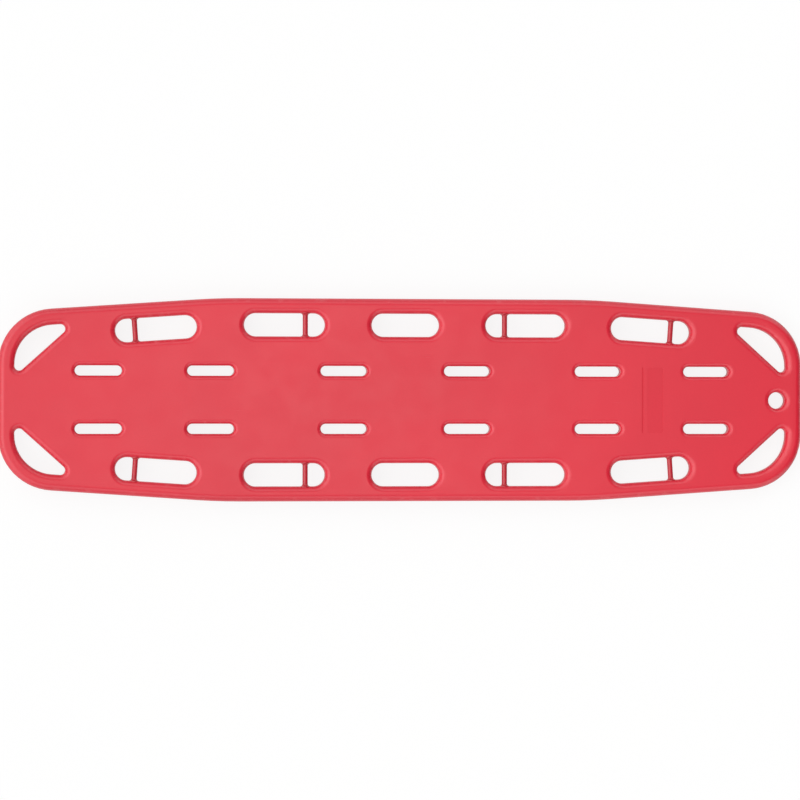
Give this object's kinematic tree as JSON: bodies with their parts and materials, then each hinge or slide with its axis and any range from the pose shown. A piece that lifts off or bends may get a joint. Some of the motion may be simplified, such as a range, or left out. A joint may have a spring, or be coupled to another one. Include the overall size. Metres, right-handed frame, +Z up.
{
  "type": "spine board",
  "caption": "Long rigid plastic board for carrying a lying patient, with handholds along both sides, corner handles, strap pins, strap slots and a hanging hole.",
  "frame": {"origin": "on the floor under the middle of the board, level with the feet of the runners", "axes": "+X to the foot end, where the hanging hole is, +Y to the left of a patient lying face up, +Z up"},
  "size_m": [1.84, 0.46, 0.05],
  "materials": {
    "moulded_skin": "matte",
    "foam": "matte",
    "composite": "satin",
    "pin_sleeve": "satin",
    "plug": "matte"
  },
  "bodies": {
    "root": {"top_skin": "moulded_skin", "bottom_skin": "moulded_skin", "foam_core": "foam", "outer_stiffening_rod_left": "composite", "outer_stiffening_rod_right": "composite", "inner_stiffening_rod_left": "composite", "inner_stiffening_rod_right": "composite", "strap_pin_shoulder_left": "pin_sleeve", "strap_pin_chest_left": "pin_sleeve", "strap_pin_thigh_left": "pin_sleeve", "strap_pin_ankle_left": "pin_sleeve", "strap_pin_shoulder_right": "pin_sleeve", "strap_pin_chest_right": "pin_sleeve", "strap_pin_thigh_right": "pin_sleeve", "strap_pin_ankle_right": "pin_sleeve", "strap_pin_core_shoulder_left": "composite", "strap_pin_core_chest_left": "composite", "strap_pin_core_thigh_left": "composite", "strap_pin_core_ankle_left": "composite", "strap_pin_core_shoulder_right": "composite", "strap_pin_core_chest_right": "composite", "strap_pin_core_thigh_right": "composite", "strap_pin_core_ankle_right": "composite", "fill_port_plug": "plug", "head_vent_plug": "plug", "foot_vent_plug": "plug"}
  },
  "joints": []
}
